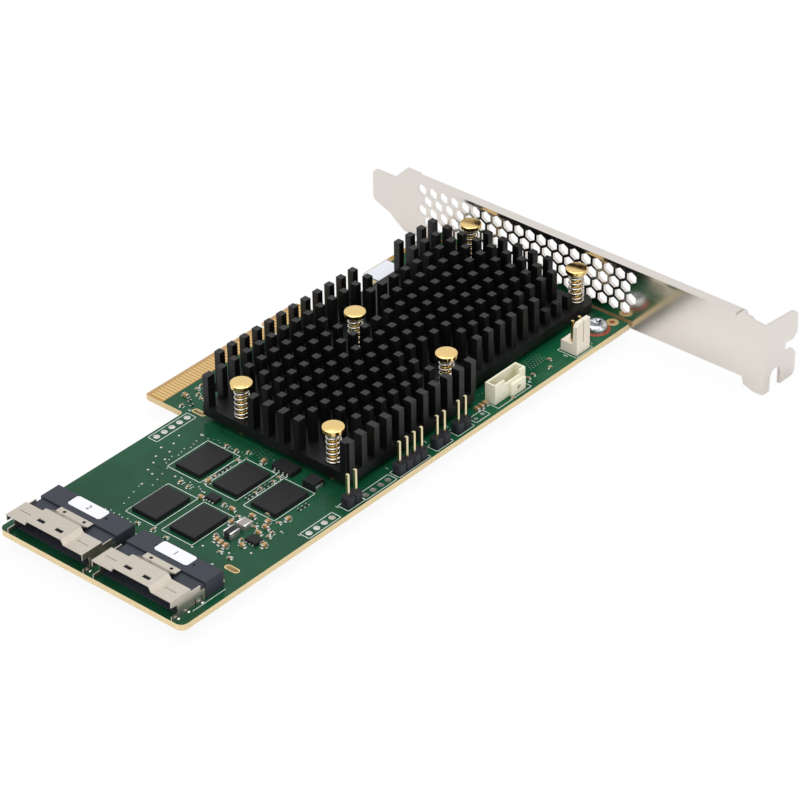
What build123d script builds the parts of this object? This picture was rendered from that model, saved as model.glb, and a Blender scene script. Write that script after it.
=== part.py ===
from build123d import *
from math import atan2, degrees
import os

# Server raid controller card with a pin-fin heatsink, two cable ports and a vented bracket.
# All sizes are millimetres. Board coordinates: x runs from the port end to the bracket, y from the
# near long edge towards the gold-finger tab, and z up from the component face of the board.

os.makedirs("parts", exist_ok=True)

LOW = (Align.MIN, Align.MIN)

# board
board_length = 155.65
board_width = 56.15
board_thick = 1.57
port_corner_r = 1.8
tab_height = 12.75
tab_root_r = 1.0
tab_corner = 0.7
bevel_run = 1.3
bevel_drop = 0.5
key_from_end = 56.65
key_width = 1.9
key_depth = 7.7
foot_length = 23.95
foot_height = 8.26
foot_corner = 0.6

# gold fingers of the edge tab
finger_pitch = 1.0
finger_width = 0.7
finger_length = 4.2
finger_thick = 0.05
finger_tip_gap = 0.3
key_to_finger = 1.5
tab_margin = 1.1
fingers_port_side = 38
fingers_bracket_side = 11

# drilled holes and slots; repeated small holes have few sides
via_row_r = 0.5
via_row_pitch = 2.54
via_sides = 8
round_hole_sides = 16
slot_length = 3.4
slot_width = 1.1
slot_port_x = 21.95
slot_port_y = 5.9
slot_tab_x = 61.7
slot_from_tab_edge = 2.85
spare_near_x = [109.35, 90.35]
spare_near_y = 1.9
spare_near_count = 4
spare_far_x = 53.25
spare_from_far_edge = 2.15
spare_far_count = 5

# bracket, folded from one sheet
sheet = 0.86
bracket_gap = 0.6
bracket_top = 16.85
bend_r = 0.7
plate_right = 32.6
plate_past_ear = 10.9
flange_depth = 2.35
flange_right = 32.0
flange_short = 5.0
relief_width = 0.7
relief_depth = 1.6
tongue_reach = 11.2
tongue_top = 12.75
tongue_low = 4.2
tongue_corner = 1.4
shoulder_low = 1.1
tab_face = 39.0
tab_reach = 12.3
tab_top = 14.45
tab_top_drop = 1.2
tab_outer_r = 2.2
tab_low = 4.57
step_top = 15.4
hook_top = 6.0
hook_low = 3.0
hook_depth = 4.6
lobe_corner = 1.4
screw_slot_x = 3.95
screw_slot_width = 4.2
screw_slot_top = 0.9

# vent holes of the bracket
vent_flats = 2.75
vent_pitch = 3.455
vent_row = 2.98
vent_centre_y = 32.92
vent_centre_z = 8.05
vents_long_row = 20

# board ears of the bracket and their screws
ear_width = 8.0
ear_length = 12.61
ear_corner = 2.0
ear_near_y = 4.65
ear_past_board = 3.65
ear_screw_from_end = 6.85
screw_shank_r = 1.45
screw_head_r = 2.75
head_sides = 24
shank_sides = 12
screw_head_high = 1.9
screw_head_chamfer = 0.75
screw_tip = 0.8
screw_board_gap = 0.15
screw_ear_gap = 0.03
cross_width = 0.7
cross_length = 3.0
cross_depth = 1.1

# heatsink
sink_gap = 1.5
sink_base = 2.5
fin_height = 8.5
fin_side = 1.75
fin_pitch_x = 4.251
fin_pitch_y = 4.676
fin_first_x = 61.65
fin_first_y = 7.35
fin_short_drop = 4.8
fin_short_reach = 16.0
fin_room_x = 6.4
fin_room_y = 4.6
fin_ear_room_x = 2.5
bare_from_end = 33.0
bare_length = 12.5
bare_from_far = 7.5
sink_left = 60.2
sink_near = 5.9
sink_step_x = 105.1
sink_step_y = 9.6
sink_from_end = 3.55
sink_far = 55.0
sink_far_left_x = 69.0
sink_far_left_y = 50.5
sink_far_right_cut = 4.5
sink_ear_r = 3.8
sink_corner_r = 0.8

# sprung push-pins
pin_left_x = 63.05
pin_mid_x = 102.4
pin_right_from_end = 4.75
pin_near_y = 12.6
pin_far_y = 40.65
pin_right_far_y = 45.45
pin_head_r = 2.65
pin_neck_r = 2.1
pin_head_high = 1.5
pin_flare = 0.7
pin_crown = 0.3
pin_head_sides = 18
pin_sides = 8
pin_stem_r = 0.95
pin_collar_r = 1.25
pin_hole_gap = 0.3
pin_barb_r = 1.75
pin_barb_seat = 0.1
pin_tip_r = 0.8
pin_tip_drop = 2.4
pin_split = 0.6
spring_r = 1.95
spring_wire = 0.4
spring_length = 7.7
spring_sides = 12

# controller chip and its thermal pad, hidden under the heatsink
chip_side = 33.0
pad_thick = 0.3
pad_side = 26.0

# memory chips
memory_length = 11.0
memory_width = 7.5
memory_high = 1.15
memory_spots = [(47.65, 38.45), (47.5, 26.7), (47.45, 15.1), (29.15, 34.2), (29.3, 22.75)]

# cable ports: shells and housings
port_first_y = 2.95
port_gap = 2.85
port_width = 23.7
shell_sheet = 0.25
shell_wing_top = 5.05
shell_crown_top = 6.2
shell_length = 6.15
crown_from = 6.4
crown_to = 17.3
crown_slope = 0.7
notch_top = 3.45
notch_low = 1.17
notch_depth = 2.1
skirt_top = 4.3
skirt_mid_x = 9.05
skirt_low_top = 3.0
skirt_end = 10.4
skirt_slit = 0.35
window_x = 2.17
window_length = 1.15
window_width = 2.1
window_spread = 5.55
strap_from = 6.9
strap_to = 16.9
strap_drop_x = 8.6
strap_top = 4.5
strap_end = 10.35
strap_hole_r = 0.45
small_hole_sides = 8
strap_hole_x = 9.4
strap_hole_spread = 6.1
housing_front = 5.6
housing_front_top = 3.7
housing_step_x = 10.6
housing_end = 16.2
housing_top = 4.25
housing_sill = 0.5
housing_gap = 0.05
peg_r = 0.35
peg_x = 13.7
peg_spread = 11.2
contact_pitch = 0.6
contact_width = 0.28
contact_thick = 0.25
contact_margin = 0.9
contact_lead = 1.3
contact_gap = 0.03
label_thick = 0.1
label_length = 3.7
label_width = 10.0
label_corner = 0.5
label_x = 14.15
label_shift = 0.3

# pin headers
header_pitch = 2.54
header_width = 2.5
header_high = 2.54
header_notch = 0.4
post_side = 0.64
post_above = 6.0
post_tail = 1.3
post_gap = 0.02
header_rows_from_end = [(99.65, 2.3, 2), (82.6, 1.9, 4), (69.25, 2.1, 2), (61.45, 2.35, 2)]

# white walled header
shroud_from_end = 47.85
shroud_y = 2.44
shroud_length = 11.1
shroud_width = 3.0
shroud_high = 5.2
shroud_wall = 0.5
shroud_floor = 1.2
shroud_cut_from = 3.5
shroud_cut_to = 9.2
shroud_cut_top = 3.9
shroud_boss_from = 5.3
shroud_boss_to = 10.2
shroud_boss_deep = 0.9
shroud_boss_high = 3.3
shroud_window = 1.3
shroud_window_low = 0.9
shroud_pins = 4
shroud_pitch = 2.0
shroud_post = 0.5
shroud_post_top = 4.4

# cream header with a friction wall
latch_from_end = 19.35
latch_y = 0.8
latch_length = 4.95
latch_width = 4.8
latch_base_high = 2.8
latch_wall = 1.2
latch_wall_high = 8.7
latch_groove = 0.5
latch_groove_deep = 0.35
latch_chamfer = 0.9
latch_post_y = 3.1
latch_post_top = 8.6

# derived places
key_x = board_length - key_from_end
tab_start = key_x - key_to_finger - (fingers_port_side - 1) * finger_pitch - tab_margin
tab_end = key_x + key_to_finger + (fingers_bracket_side - 1) * finger_pitch + tab_margin
tab_far = board_width + tab_height
foot_far = board_width + foot_height
foot_start = board_length - foot_length
plate_in = board_length + bracket_gap
plate_out = plate_in + sheet
tab_end_x = plate_out + tab_reach
ear_screw_x = board_length - ear_screw_from_end
ear_far_y = board_width + ear_past_board
plate_left = ear_far_y + plate_past_ear
flange_left = plate_left - flange_short
tongue_tip = plate_left + tongue_reach
port_spots = [port_first_y, port_first_y + port_width + port_gap]
contact_count = int((port_width - 2 * contact_margin) / contact_pitch) + 1
header_rows = [(board_length - inset, y, count) for inset, y, count in header_rows_from_end]
shroud_x = board_length - shroud_from_end
latch_x = board_length - latch_from_end
sink_right = board_length - sink_from_end
sink_far_right_x = sink_right - sink_far_right_cut
pin_right_x = board_length - pin_right_from_end
sink_low = sink_gap
sink_top = sink_gap + sink_base
fin_top = sink_top + fin_height
pin_head_low = sink_top + spring_length
pin_spots = [
    (pin_left_x, pin_near_y),
    (pin_left_x, pin_far_y),
    (pin_mid_x, pin_near_y),
    (pin_mid_x, pin_far_y),
    (pin_right_x, pin_near_y),
    (pin_right_x, pin_right_far_y),
]
ear_screws = [(ear_screw_x, ear_near_y), (ear_screw_x, ear_far_y)]
chip_centre = ((pin_left_x + pin_mid_x) / 2, (pin_near_y + pin_far_y) / 2)
latch_posts = [
    (latch_x + (latch_length - header_pitch) / 2, latch_post_y),
    (latch_x + (latch_length + header_pitch) / 2, latch_post_y),
]
shroud_mid_y = shroud_y + shroud_width / 2
shroud_first_x = shroud_x + shroud_length / 2 - (shroud_pins - 1) * shroud_pitch / 2
shroud_posts = [(shroud_first_x + i * shroud_pitch, shroud_mid_y) for i in range(shroud_pins)]

# The card stands with its lowest edge on z = 0 and its box centred on the origin.
X0 = -tab_end_x / 2
Y0 = (tab_face - tongue_tip) / 2
Z0 = tab_low


def deck(z=0.0):
    """Level plane at height z above the component face; local x, y are board coordinates."""
    return Plane(origin=(X0, Y0, Z0 + z), x_dir=(1, 0, 0), z_dir=(0, 0, 1))


def side(x):
    """Upright plane across the board at x, facing +X; local coordinates are board y, z."""
    return Plane(origin=(X0 + x, Y0, Z0), x_dir=(0, 1, 0), z_dir=(1, 0, 0))


def along(y):
    """Upright plane along the board at y, facing -Y; local coordinates are board x, z."""
    return Plane(origin=(X0, Y0 + y, Z0), x_dir=(1, 0, 0), z_dir=(0, -1, 0))


def spot(x, y, z):
    """A point of the board coordinates in the part's own frame."""
    return (X0 + x, Y0 + y, Z0 + z)


def header_post_spots(first_x, y, count):
    """Centres of one header's pins."""
    return [(first_x + i * header_pitch, y) for i in range(count)]


# The board: outline with edge tab, key slot and bracket-side foot, then its holes.
with BuildPart() as pcb:
    with BuildSketch(deck()) as outline:
        Rectangle(board_length, board_width, align=LOW)
        fillet(outline.vertices().group_by(Axis.X)[0], port_corner_r)
        with Locations((tab_start, board_width)):
            Rectangle(tab_end - tab_start, tab_height, align=LOW)
        chamfer(outline.vertices().group_by(Axis.Y)[-1], tab_corner)
        root = outline.vertices().sort_by_distance((tab_start, board_width, 0))[0]
        fillet(root, tab_root_r)
        with Locations((foot_start, board_width)):
            Rectangle(foot_length, foot_height, align=LOW)
        corner = outline.vertices().sort_by_distance((foot_start, foot_far, 0))[0]
        chamfer(corner, foot_corner)
        with Locations((key_x, tab_far)):
            Rectangle(key_width, 2 * key_depth, mode=Mode.SUBTRACT)
    extrude(amount=-board_thick)
    # the plug-in edge is bevelled on both faces
    with BuildSketch(side(tab_start)):
        with BuildLine():
            Polyline((tab_far - bevel_run, 0), (tab_far, 0), (tab_far, -bevel_drop), close=True)
        make_face()
        with BuildLine():
            Polyline(
                (tab_far - bevel_run, -board_thick),
                (tab_far, -board_thick),
                (tab_far, bevel_drop - board_thick),
                close=True,
            )
        make_face()
    extrude(amount=tab_end - tab_start, mode=Mode.SUBTRACT)
    with BuildSketch(deck()):
        with Locations(*pin_spots):
            RegularPolygon(pin_collar_r + pin_hole_gap, round_hole_sides)
        with Locations(*ear_screws):
            RegularPolygon(screw_shank_r + screw_board_gap, shank_sides)
        for first_x, y, count in header_rows:
            with Locations(*header_post_spots(first_x, y, count)):
                RegularPolygon(via_row_r, via_sides)
        with Locations(*latch_posts, *shroud_posts):
            RegularPolygon(via_row_r, via_sides)
        # two near rows and one far row of plated holes without a header
        for inset in spare_near_x:
            with Locations((board_length - inset, spare_near_y)):
                with GridLocations(via_row_pitch, 1, spare_near_count, 1):
                    RegularPolygon(via_row_r, via_sides)
        with Locations((spare_far_x, board_width - spare_from_far_edge)):
            with GridLocations(via_row_pitch, 1, spare_far_count, 1):
                RegularPolygon(via_row_r, via_sides)
        with Locations((slot_port_x, slot_port_y), (slot_tab_x, board_width - slot_from_tab_edge)):
            SlotOverall(slot_length, slot_width, rotation=90)
    extrude(amount=-board_thick, mode=Mode.SUBTRACT)
pcb.part.label = "pcb"
export_step(pcb.part, "parts/pcb.step")

# Gold fingers, a row on each face, on both sides of the key slot.
finger_mid_y = tab_far - bevel_run - finger_tip_gap - finger_length / 2
left_span = (fingers_port_side - 1) * finger_pitch
right_span = (fingers_bracket_side - 1) * finger_pitch
with BuildPart() as edge_contacts:
    for face_z, grow in ((0.0, finger_thick), (-board_thick, -finger_thick)):
        with BuildSketch(deck(face_z)):
            with Locations((key_x - key_to_finger - left_span / 2, finger_mid_y)):
                with GridLocations(finger_pitch, 1, fingers_port_side, 1):
                    Rectangle(finger_width, finger_length)
            with Locations((key_x + key_to_finger + right_span / 2, finger_mid_y)):
                with GridLocations(finger_pitch, 1, fingers_bracket_side, 1):
                    Rectangle(finger_width, finger_length)
        extrude(amount=grow)
edge_contacts.part.label = "edge_contacts"
export_step(edge_contacts.part, "parts/edge_contacts.step")

# The bracket: plate with tongue, folded top flange, screw tab, two board ears and the vent grille.
ear_low = -board_thick - sheet
with BuildPart() as bracket:
    with BuildSketch(side(plate_in)) as plate:
        with BuildLine():
            Polyline(
                (-tab_face, tab_top),
                (-plate_right - 2.7, tab_top + 0.25),
                (-plate_right - 2.0, step_top),
                (-plate_right - 0.8, step_top),
                (-plate_right, bracket_top),
                (plate_left, bracket_top),
                (plate_left + bracket_top - tongue_top, tongue_top),
                (tongue_tip, tongue_top),
                (tongue_tip, tongue_low),
                (tongue_tip - 3.1, tongue_low - 1.3),
                (tongue_tip - 5.7, shoulder_low + 0.8),
                (tongue_tip - 6.5, shoulder_low),
                (plate_left + 1.0, -board_thick),
                (-plate_right - 0.2, -board_thick),
                (-plate_right - 0.8, -tab_low + 0.97),
                (-plate_right - 3.9, -tab_low),
                (-tab_face, -tab_low),
                close=True,
            )
        make_face()
        fillet(plate.vertices().group_by(Axis.X)[-1], tongue_corner)
        # the plate reaches down behind the two ears
        for ear_y in (ear_near_y, ear_far_y):
            with Locations((ear_y, ear_low)):
                Rectangle(ear_width, 2 * sheet, align=(Align.CENTER, Align.MIN))
        # relief cut at the end of the flange
        with Locations((flange_left, bracket_top)):
            Rectangle(relief_width, relief_depth, align=(Align.MIN, Align.MAX), mode=Mode.SUBTRACT)
        # vent grille: two long rows and two short rows between them
        with Locations((vent_centre_y, vent_centre_z + vent_row / 2)):
            with GridLocations(vent_pitch, 2 * vent_row, vents_long_row, 2):
                RegularPolygon(
                    vent_flats / 2, 6, major_radius=False, rotation=30, mode=Mode.SUBTRACT
                )
        with Locations((vent_centre_y, vent_centre_z - vent_row / 2)):
            with GridLocations(vent_pitch, 2 * vent_row, vents_long_row - 1, 2):
                RegularPolygon(
                    vent_flats / 2, 6, major_radius=False, rotation=30, mode=Mode.SUBTRACT
                )
    extrude(amount=sheet)
    # stiffening flange folded inwards along the top edge
    with BuildSketch(deck(bracket_top)):
        with Locations((plate_in - flange_depth, -flange_right)):
            Rectangle(flange_depth + sheet, flange_left + flange_right, align=LOW)
    extrude(amount=-sheet)
    # screw tab folded outwards at the end of the plate
    with BuildSketch(along(-tab_face)) as screw_tab:
        with BuildLine():
            Polyline(
                (plate_in, tab_top),
                (tab_end_x, tab_top - tab_top_drop),
                (tab_end_x, hook_top + 1.0),
                (tab_end_x - 1.5, hook_top - 0.4),
                (tab_end_x - hook_depth, hook_top),
                (tab_end_x - hook_depth, hook_low),
                (tab_end_x - 1.6, hook_low),
                (tab_end_x - 0.35, hook_low - 1.5),
                (tab_end_x - 0.35, -tab_low),
                (plate_in, -tab_low),
                close=True,
            )
        make_face()
        outer = screw_tab.vertices().sort_by_distance((tab_end_x, tab_top - tab_top_drop, 0))[0]
        fillet(outer, tab_outer_r)
        lobe = screw_tab.vertices().sort_by_distance((tab_end_x, -tab_low, 0))[0]
        fillet(lobe, lobe_corner)
        slot_r = screw_slot_width / 2
        slot_mid = plate_out + screw_slot_x
        with Locations((slot_mid, screw_slot_top - slot_r)):
            Circle(slot_r, mode=Mode.SUBTRACT)
            Rectangle(
                screw_slot_width,
                screw_slot_top + tab_low,
                align=(Align.CENTER, Align.MAX),
                mode=Mode.SUBTRACT,
            )
    extrude(amount=-sheet)
    # ears under the board
    for ear_y in (ear_near_y, ear_far_y):
        with BuildSketch(deck(-board_thick)) as ear:
            with Locations((plate_out - ear_length, ear_y)):
                Rectangle(ear_length, ear_width, align=(Align.MIN, Align.CENTER))
            fillet(ear.vertices().group_by(Axis.X)[0], ear_corner)
            with Locations((ear_screw_x, ear_y)):
                RegularPolygon(screw_shank_r + screw_ear_gap, shank_sides, mode=Mode.SUBTRACT)
        extrude(amount=-sheet)
    # rounded outside of the two bends
    flange_bend = bracket.edges().filter_by(Axis.Y)
    flange_mid = (flange_left - flange_right) / 2
    fillet(flange_bend.sort_by_distance(spot(plate_out, flange_mid, bracket_top))[0], bend_r)
    tab_bend = bracket.edges().filter_by(Axis.Z)
    tab_mid = (tab_top - tab_low) / 2
    fillet(tab_bend.sort_by_distance(spot(plate_in, -tab_face, tab_mid))[0], bend_r)
bracket.part.label = "bracket"
export_step(bracket.part, "parts/bracket.step")

# Pan-head screws through the board into the ears.
with BuildPart() as bracket_screws:
    with BuildSketch(deck(screw_head_high)):
        with Locations(*ear_screws):
            RegularPolygon(screw_head_r, head_sides)
    extrude(amount=-screw_head_high)
    rim = bracket_screws.edges().group_by(Axis.Z)[-1]
    chamfer(rim, screw_head_chamfer)
    with BuildSketch(deck()):
        with Locations(*ear_screws):
            RegularPolygon(screw_shank_r, shank_sides)
    extrude(amount=-(board_thick + sheet + screw_tip))
    with BuildSketch(deck(screw_head_high)):
        with Locations(*ear_screws):
            Rectangle(cross_length, cross_width)
            Rectangle(cross_width, cross_length)
    extrude(amount=-cross_depth, mode=Mode.SUBTRACT)
bracket_screws.part.label = "bracket_screws"
export_step(bracket_screws.part, "parts/bracket_screws.step")

# Heatsink: the pins stand on one square grid, wherever the base carries them.
fin_columns = int((sink_right - fin_first_x) / fin_pitch_x) + 1
fin_rows = int((sink_far - fin_first_y) / fin_pitch_y) + 1
bare_start = sink_right - bare_from_end


def fin_stands(x, y):
    """False past the base's cut corners, in its bare patch and in the room that each push-pin needs."""
    half = fin_side / 2
    if x + half > sink_step_x and y - half < sink_step_y:
        return False
    if x - half < sink_far_left_x and y + half > sink_far_left_y:
        return False
    if x + half > sink_far_right_x and y + half > pin_right_far_y + sink_ear_r:
        return False
    if bare_start < x < bare_start + bare_length and y > sink_far - bare_from_far:
        return False
    for pin_x, pin_y in pin_spots:
        room_x = fin_ear_room_x if pin_x == pin_right_x else fin_room_x
        if abs(x - pin_x) < room_x and abs(y - pin_y) < fin_room_y:
            return False
    return True


def fin_is_short(x, y):
    """True for the low pins of the row beside the near step, at its bracket end."""
    return x > sink_right - fin_short_reach and y < sink_step_y + fin_pitch_y


fin_grid = [
    (fin_first_x + column * fin_pitch_x, fin_first_y + row * fin_pitch_y)
    for row in range(fin_rows)
    for column in range(fin_columns)
]
fins = [place for place in fin_grid if fin_stands(*place)]
short_fins = [place for place in fins if fin_is_short(*place)]
tall_fins = [place for place in fins if not fin_is_short(*place)]

with BuildPart() as heatsink:
    with BuildSketch(deck(sink_low)) as base:
        with BuildLine():
            Polyline(
                (sink_left, sink_near),
                (sink_step_x, sink_near),
                (sink_step_x, sink_step_y),
                (sink_right, sink_step_y),
                (sink_right, pin_right_far_y + sink_ear_r),
                (sink_far_right_x, pin_right_far_y + sink_ear_r),
                (sink_far_right_x, sink_far),
                (sink_far_left_x, sink_far),
                (sink_far_left_x, sink_far_left_y),
                (sink_left, sink_far_left_y),
                close=True,
            )
        make_face()
        fillet(base.vertices().group_by(Axis.Y)[0], sink_corner_r)
        # round ears carry the two push-pins at the bracket end
        with Locations(*pin_spots[4:]):
            Circle(sink_ear_r)
        with Locations(*pin_spots):
            RegularPolygon(pin_collar_r + pin_hole_gap / 2, round_hole_sides, mode=Mode.SUBTRACT)
    extrude(amount=sink_base)
    # the field of square pins
    with BuildSketch(deck(sink_top)):
        with Locations(*tall_fins):
            Rectangle(fin_side, fin_side)
        # pins along the near and left edges are deeper, flush with the base
        with Locations(*[place for place in tall_fins if place[1] == fin_first_y]):
            Rectangle(fin_side, fin_first_y - sink_near, align=(Align.CENTER, Align.MAX))
        with Locations(*[place for place in tall_fins if place[0] == fin_first_x]):
            Rectangle(fin_first_x - sink_left, fin_side, align=(Align.MAX, Align.CENTER))
    extrude(amount=fin_height)
    with BuildSketch(deck(sink_top)):
        with Locations(*short_fins):
            Rectangle(fin_side, fin_side)
    extrude(amount=fin_height - fin_short_drop)
heatsink.part.label = "heatsink"
export_step(heatsink.part, "parts/heatsink.step")

# Push-pins: flared head, stem, collar through base and board, and a split barbed tip.
pin_tip_low = -board_thick - pin_tip_drop
barb = -board_thick - pin_barb_seat
flare_top = pin_head_low + pin_flare
tip_taper = degrees(atan2(pin_barb_r - pin_tip_r, barb - pin_tip_low))
flare_taper = degrees(atan2(pin_head_r - pin_neck_r, pin_flare))
with BuildPart() as push_pins:
    with BuildSketch(Plane.XY.offset(Z0 + barb)):
        RegularPolygon(pin_barb_r, pin_sides)
    extrude(amount=-(barb - pin_tip_low), taper=tip_taper)
    with BuildSketch(Plane.XY.offset(Z0 + barb)):
        RegularPolygon(pin_collar_r, pin_sides)
    extrude(amount=sink_top - barb)
    with BuildSketch(Plane.XY.offset(Z0 + sink_top)):
        RegularPolygon(pin_stem_r, pin_sides)
    extrude(amount=spring_length)
    with BuildSketch(Plane.XY.offset(Z0 + flare_top)):
        RegularPolygon(pin_head_r, pin_head_sides)
    extrude(amount=-pin_flare, taper=flare_taper)
    with BuildSketch(Plane.XY.offset(Z0 + flare_top)):
        RegularPolygon(pin_head_r, pin_head_sides)
    extrude(amount=pin_head_high - pin_flare)
    chamfer(push_pins.edges().group_by(Axis.Z)[-1], pin_crown)
    with BuildSketch(Plane.XY.offset(Z0 + pin_tip_low)):
        Rectangle(2 * pin_barb_r + 1, pin_split)
    extrude(amount=pin_tip_drop + board_thick / 2, mode=Mode.SUBTRACT)
one_pin = push_pins.part
with BuildPart() as push_pins:
    for x, y in pin_spots:
        with Locations((X0 + x, Y0 + y, 0)):
            add(one_pin)
push_pins.part.label = "push_pins"
export_step(push_pins.part, "parts/push_pins.step")

# Springs, as plain sleeves of the coil's own width.
with BuildPart() as push_pin_springs:
    with BuildSketch(deck(sink_top)):
        with Locations(*pin_spots):
            RegularPolygon(spring_r, spring_sides)
            RegularPolygon(spring_r - spring_wire, spring_sides, mode=Mode.SUBTRACT)
    extrude(amount=spring_length)
push_pin_springs.part.label = "push_pin_springs"
export_step(push_pin_springs.part, "parts/push_pin_springs.step")

# Controller chip and thermal pad fill the space under the heatsink.
chip_high = sink_gap - pad_thick
with BuildPart() as controller_chip:
    with BuildSketch(deck()):
        with Locations(chip_centre):
            Rectangle(chip_side, chip_side)
    extrude(amount=chip_high)
    chamfer(controller_chip.edges().filter_by(Axis.Z), 0.5)
controller_chip.part.label = "controller_chip"
export_step(controller_chip.part, "parts/controller_chip.step")

with BuildPart() as thermal_pad:
    with BuildSketch(deck(chip_high)):
        with Locations(chip_centre):
            Rectangle(pad_side, pad_side)
    extrude(amount=pad_thick)
thermal_pad.part.label = "thermal_pad"
export_step(thermal_pad.part, "parts/thermal_pad.step")

# Memory chips.
for number, centre in enumerate(memory_spots, 1):
    with BuildPart() as memory_chip:
        with BuildSketch(deck()):
            with Locations(centre):
                Rectangle(memory_length, memory_width)
        extrude(amount=memory_high)
        chamfer(memory_chip.edges().group_by(Axis.Z)[-1], 0.12)
    memory_chip.part.label = f"memory_chip_{number}"
    export_step(memory_chip.part, f"parts/memory_chip_{number}.step")

# Cable ports.
for number, y0 in enumerate(port_spots, 1):
    near = y0
    far = y0 + port_width
    middle = y0 + port_width / 2
    row_span = (contact_count - 1) * contact_pitch + contact_width

    # folded shell: wings, raised crown, side skirts and a rear strap over the housing
    with BuildPart() as port_shell:
        with BuildSketch(side(0)) as section:
            with BuildLine():
                Polyline(
                    (near, 0),
                    (near, shell_wing_top),
                    (near + crown_from - crown_slope, shell_wing_top),
                    (near + crown_from, shell_crown_top),
                    (near + crown_to, shell_crown_top),
                    (near + crown_to + crown_slope, shell_wing_top),
                    (far, shell_wing_top),
                    (far, 0),
                    (far - shell_sheet, 0),
                    (far - shell_sheet, shell_wing_top - shell_sheet),
                    (near + crown_to + crown_slope - shell_sheet, shell_wing_top - shell_sheet),
                    (near + crown_to - shell_sheet, shell_crown_top - shell_sheet),
                    (near + crown_from + shell_sheet, shell_crown_top - shell_sheet),
                    (near + crown_from - crown_slope + shell_sheet, shell_wing_top - shell_sheet),
                    (near + shell_sheet, shell_wing_top - shell_sheet),
                    (near + shell_sheet, 0),
                    close=True,
                )
            make_face()
        extrude(amount=shell_length)
        # side skirts step down towards the rear
        with BuildSketch(along(near)):
            with BuildLine():
                Polyline(
                    (shell_length, 0),
                    (skirt_end, 0),
                    (skirt_end, skirt_low_top),
                    (skirt_mid_x, skirt_low_top),
                    (skirt_mid_x, skirt_top),
                    (shell_length, skirt_top),
                    close=True,
                )
            make_face()
            with Locations((skirt_end - 1.1, 0.4)):
                Rectangle(skirt_slit, 1.2, align=(Align.CENTER, Align.MIN), mode=Mode.SUBTRACT)
            with Locations((skirt_end - 3.1, 0)):
                Rectangle(skirt_slit, 1.9, align=(Align.CENTER, Align.MIN), mode=Mode.SUBTRACT)
        extrude(amount=-shell_sheet)
        mirror(about=Plane(origin=spot(0, middle, 0), z_dir=(0, 1, 0)))
        # the mouth's side walls are cut back between a top lip and a foot
        with BuildSketch(along(near)):
            with BuildLine():
                Polyline(
                    (0, notch_low),
                    (notch_depth, notch_low),
                    (notch_depth - 0.2, notch_top - 0.15),
                    (0, notch_top),
                    close=True,
                )
            make_face()
        extrude(amount=-port_width, mode=Mode.SUBTRACT)
        # latch windows in the crown
        with BuildSketch(deck(shell_crown_top)):
            with Locations((window_x, near + (crown_from + crown_to) / 2)):
                with GridLocations(1, window_spread, 1, 2):
                    Rectangle(window_length, window_width)
        extrude(amount=-2 * shell_sheet, mode=Mode.SUBTRACT)
        # strap sloping down from the crown on to the housing
        with BuildSketch(along(near + strap_from)):
            with BuildLine():
                Polyline(
                    (shell_length, shell_crown_top),
                    (strap_drop_x, strap_top),
                    (strap_end, strap_top),
                    (strap_end, strap_top - shell_sheet),
                    (strap_drop_x - 0.1, strap_top - shell_sheet),
                    (shell_length, shell_crown_top - shell_sheet),
                    close=True,
                )
            make_face()
        extrude(amount=-(strap_to - strap_from))
        with BuildSketch(deck(strap_top)):
            with Locations((strap_hole_x, near + (strap_from + strap_to) / 2)):
                with GridLocations(1, strap_hole_spread, 1, 2):
                    RegularPolygon(strap_hole_r, small_hole_sides)
        extrude(amount=-2 * shell_sheet, mode=Mode.SUBTRACT)
    port_shell.part.label = f"port_shell_{number}"
    export_step(port_shell.part, f"parts/port_shell_{number}.step")

    # moulded housing: sill at the mouth's back, a low front block and a wider rear block
    inner = port_width - 2 * shell_sheet - 2 * housing_gap
    inner_low = near + shell_sheet + housing_gap
    with BuildPart() as port_housing:
        with BuildSketch(deck()):
            with Locations((housing_front, inner_low)):
                Rectangle(housing_step_x - housing_front, inner, align=LOW)
        extrude(amount=housing_front_top)
        with BuildSketch(deck()):
            with Locations((housing_front, inner_low)):
                Rectangle(housing_sill, inner, align=LOW)
        extrude(amount=shell_wing_top - shell_sheet - housing_gap)
        with BuildSketch(deck()):
            with Locations((housing_step_x, near)):
                Rectangle(housing_end - housing_step_x, port_width, align=LOW)
        extrude(amount=housing_top)
        # one recess for the contact row along the underside
        with BuildSketch(deck()):
            with Locations((housing_front, middle)):
                Rectangle(
                    housing_end - housing_front,
                    row_span + 2 * contact_gap,
                    align=(Align.MIN, Align.CENTER),
                )
        extrude(amount=contact_thick + contact_gap, mode=Mode.SUBTRACT)
        # two blind peg holes on top
        with BuildSketch(deck(housing_top)):
            with Locations((peg_x, near + (strap_from + strap_to) / 2)):
                with GridLocations(1, peg_spread, 1, 2):
                    RegularPolygon(peg_r, small_hole_sides)
        extrude(amount=-0.6, mode=Mode.SUBTRACT)
    port_housing.part.label = f"port_housing_{number}"
    export_step(port_housing.part, f"parts/port_housing_{number}.step")

    # contacts run under the housing to the rear leads
    with BuildPart() as port_contacts:
        with BuildSketch(deck()):
            with Locations((housing_front, middle)):
                with GridLocations(1, contact_pitch, 1, contact_count):
                    Rectangle(
                        housing_end + contact_lead - housing_front,
                        contact_width,
                        align=(Align.MIN, Align.CENTER),
                    )
        extrude(amount=contact_thick)
    port_contacts.part.label = f"port_contacts_{number}"
    export_step(port_contacts.part, f"parts/port_contacts_{number}.step")

    # bare white label on the rear block
    with BuildPart() as port_label:
        with BuildSketch(deck(housing_top)):
            with Locations((label_x, near + (strap_from + strap_to) / 2 + label_shift)):
                Rectangle(label_length, label_width)
        extrude(amount=label_thick)
        chamfer(port_label.edges().filter_by(Axis.Z), label_corner)
    port_label.part.label = f"port_label_{number}"
    export_step(port_label.part, f"parts/port_label_{number}.step")

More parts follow.
